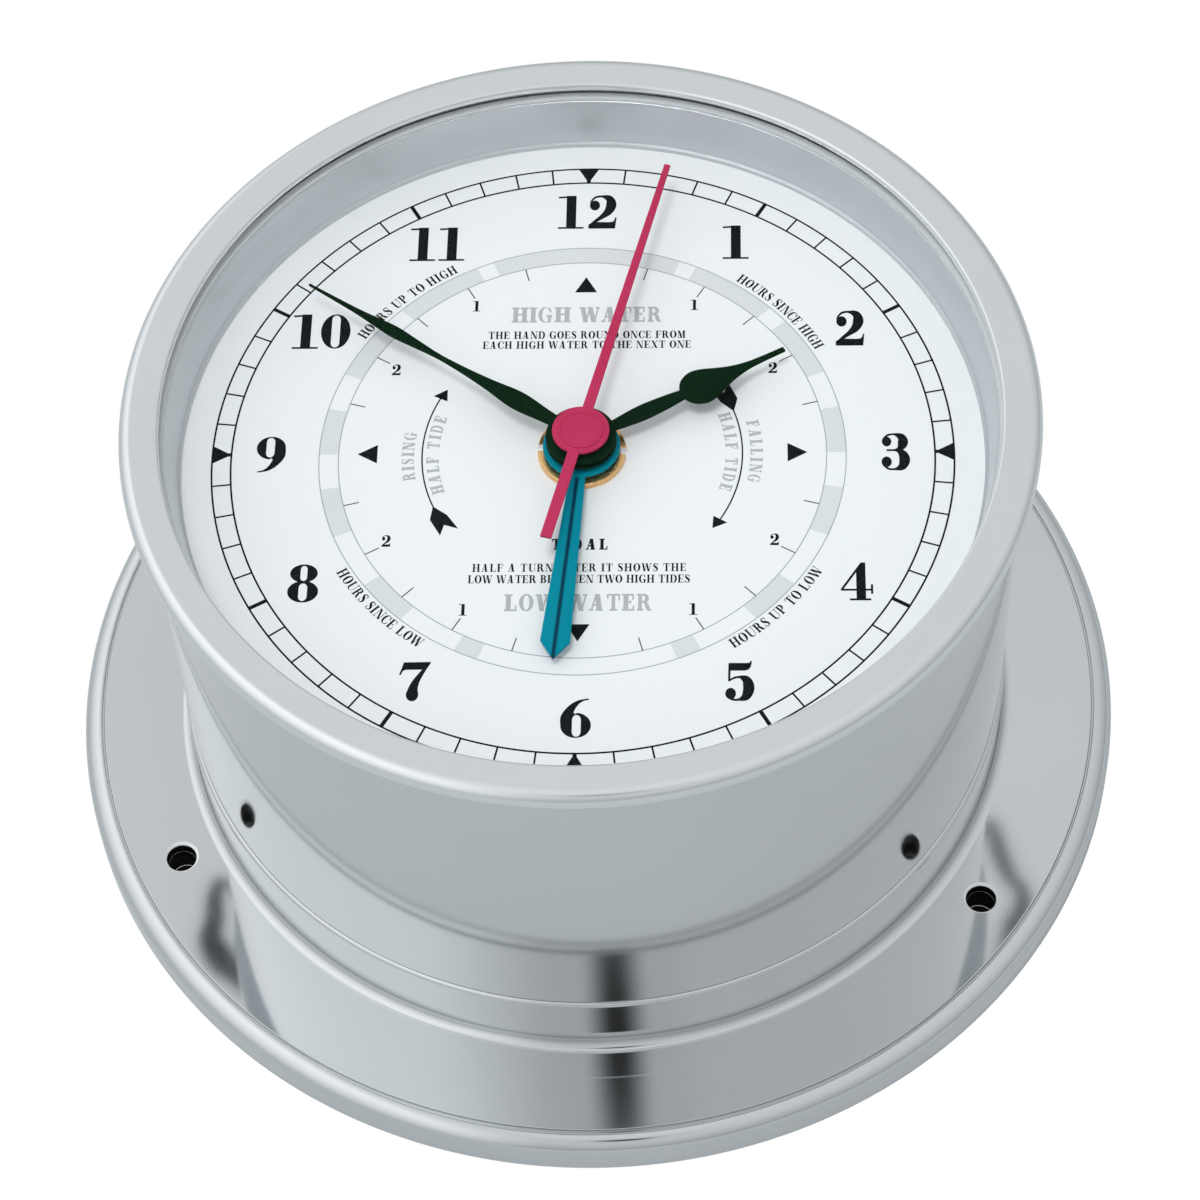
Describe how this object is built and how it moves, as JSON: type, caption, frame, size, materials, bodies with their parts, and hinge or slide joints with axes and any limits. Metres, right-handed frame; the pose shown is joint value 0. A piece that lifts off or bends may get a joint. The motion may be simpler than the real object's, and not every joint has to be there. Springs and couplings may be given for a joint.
{
  "type": "ship's deck clock",
  "caption": "Round marine quartz clock with hour, minute, second and tide hands under a rounded bezel, in a drum case that twists off a flanged wall base.",
  "frame": {"origin": "centre of the wall flange's back face, on the clock's axis", "axes": "+Z along the clock's axis, out of the dial; +Y towards 12 o'clock; +X towards 3 o'clock"},
  "size_m": [0.15, 0.15, 0.074],
  "materials": {
    "polished_chrome": "polished",
    "satin_chrome": "satin brushed",
    "satin_metal": "satin",
    "steel": "plain",
    "glass": "clear",
    "rubber": "matt",
    "dial_white": "satin enamel",
    "brass": "turned",
    "black_plastic": "moulded",
    "cream_plastic": "moulded",
    "white_plastic": "moulded",
    "copper": "enamelled wire",
    "board_green": "solder mask",
    "battery_wrap": "printed wrap",
    "magnet": "sintered",
    "crimson_paint": "matt",
    "dark_paint": "matt",
    "teal_paint": "matt"
  },
  "bodies": {
    "base": {"base_flange": "polished_chrome", "base_collar": "polished_chrome"},
    "case": {"case_drum": "satin_chrome", "bayonet_lugs": "steel", "bezel_ring": "satin_chrome", "glass_lens": "glass", "glass_gasket": "rubber", "reflector_ring": "satin_metal", "dial_plate": "dial_white", "rubber_washer": "rubber", "threaded_bush": "brass", "bush_nut": "brass", "movement_front_case": "black_plastic", "movement_rear_cover": "black_plastic", "train_plate": "cream_plastic", "stator": "steel", "coil_bobbin": "cream_plastic", "coil_winding": "copper", "circuit_board": "board_green", "clock_chip": "black_plastic", "quartz_crystal": "steel", "battery": "battery_wrap", "battery_contact_plus": "steel", "battery_contact_minus": "steel"},
    "seconds": {"second_wheel": "white_plastic", "second_arbor": "steel", "second_hand": "crimson_paint"},
    "rotor": {"rotor_pinion": "white_plastic", "rotor_magnet": "magnet"},
    "intermediate": {"intermediate_wheel": "white_plastic"},
    "third": {"third_wheel": "white_plastic"},
    "centre": {"centre_wheel": "white_plastic"},
    "minutes": {"cannon_pinion": "brass", "clutch_washer": "steel", "minute_hand": "dark_paint"},
    "minute_work": {"minute_work_wheel": "white_plastic"},
    "hours": {"hour_wheel": "white_plastic", "hour_hand": "dark_paint"},
    "idler": {"tide_idler": "white_plastic"},
    "tide": {"tide_wheel": "white_plastic", "tide_hand": "teal_paint"},
    "setting": {"setting_arbor": "white_plastic", "setting_knob": "white_plastic"}
  },
  "joints": [
    {"name": "case_twist", "type": "hinge", "parent": "base", "child": "case", "pos_m": [0, 0, 0.017], "axis": [0, 0, 1], "range_deg": [0, 25]},
    {"name": "second_spin", "type": "hinge", "parent": "case", "child": "seconds", "pos_m": [0, 0, 0.0474], "axis": [0, 0, -1], "continuous": true},
    {"name": "rotor_spin", "type": "hinge", "parent": "case", "child": "rotor", "pos_m": [-0.00974, 0.00966, 0.0458], "axis": [0, 0, -1], "continuous": true},
    {"name": "intermediate_spin", "type": "hinge", "parent": "case", "child": "intermediate", "pos_m": [-0.00624, 0.0036, 0.0458], "axis": [0, 0, -1], "continuous": true},
    {"name": "third_spin", "type": "hinge", "parent": "case", "child": "third", "pos_m": [0.0051, 0.00883, 0.0491], "axis": [0, 0, -1], "continuous": true},
    {"name": "centre_spin", "type": "hinge", "parent": "case", "child": "centre", "pos_m": [0, 0, 0.0521], "axis": [0, 0, -1], "continuous": true},
    {"name": "minute_spin", "type": "hinge", "parent": "case", "child": "minutes", "pos_m": [0, 0, 0.0537], "axis": [0, 0, -1], "continuous": true},
    {"name": "minute_work_spin", "type": "hinge", "parent": "case", "child": "minute_work", "pos_m": [0.00693, -0.004, 0.0537], "axis": [0, 0, -1], "continuous": true},
    {"name": "hour_spin", "type": "hinge", "parent": "case", "child": "hours", "pos_m": [0, 0, 0.0553], "axis": [0, 0, -1], "continuous": true},
    {"name": "idler_spin", "type": "hinge", "parent": "case", "child": "idler", "pos_m": [-0.00481, 0.00834, 0.0567], "axis": [0, 0, -1], "continuous": true},
    {"name": "tide_spin", "type": "hinge", "parent": "case", "child": "tide", "pos_m": [0, 0, 0.0581], "axis": [0, 0, -1], "continuous": true},
    {"name": "setting_spin", "type": "hinge", "parent": "case", "child": "setting", "pos_m": [0.01633, -0.00058, 0.0437], "axis": [0, 0, -1], "continuous": true}
  ],
  "couplings": [
    {"joint": "third_spin", "follows": "second_spin", "ratio": -0.13333},
    {"joint": "centre_spin", "follows": "second_spin", "ratio": 0.016667},
    {"joint": "intermediate_spin", "follows": "second_spin", "ratio": -5},
    {"joint": "rotor_spin", "follows": "second_spin", "ratio": 30},
    {"joint": "minute_work_spin", "follows": "minute_spin", "ratio": -0.33333},
    {"joint": "hour_spin", "follows": "minute_spin", "ratio": 0.083333},
    {"joint": "idler_spin", "follows": "minute_spin", "ratio": -0.2375},
    {"joint": "tide_spin", "follows": "minute_spin", "ratio": 0.080508},
    {"joint": "setting_spin", "follows": "minute_spin", "ratio": 0.5}
  ]
}
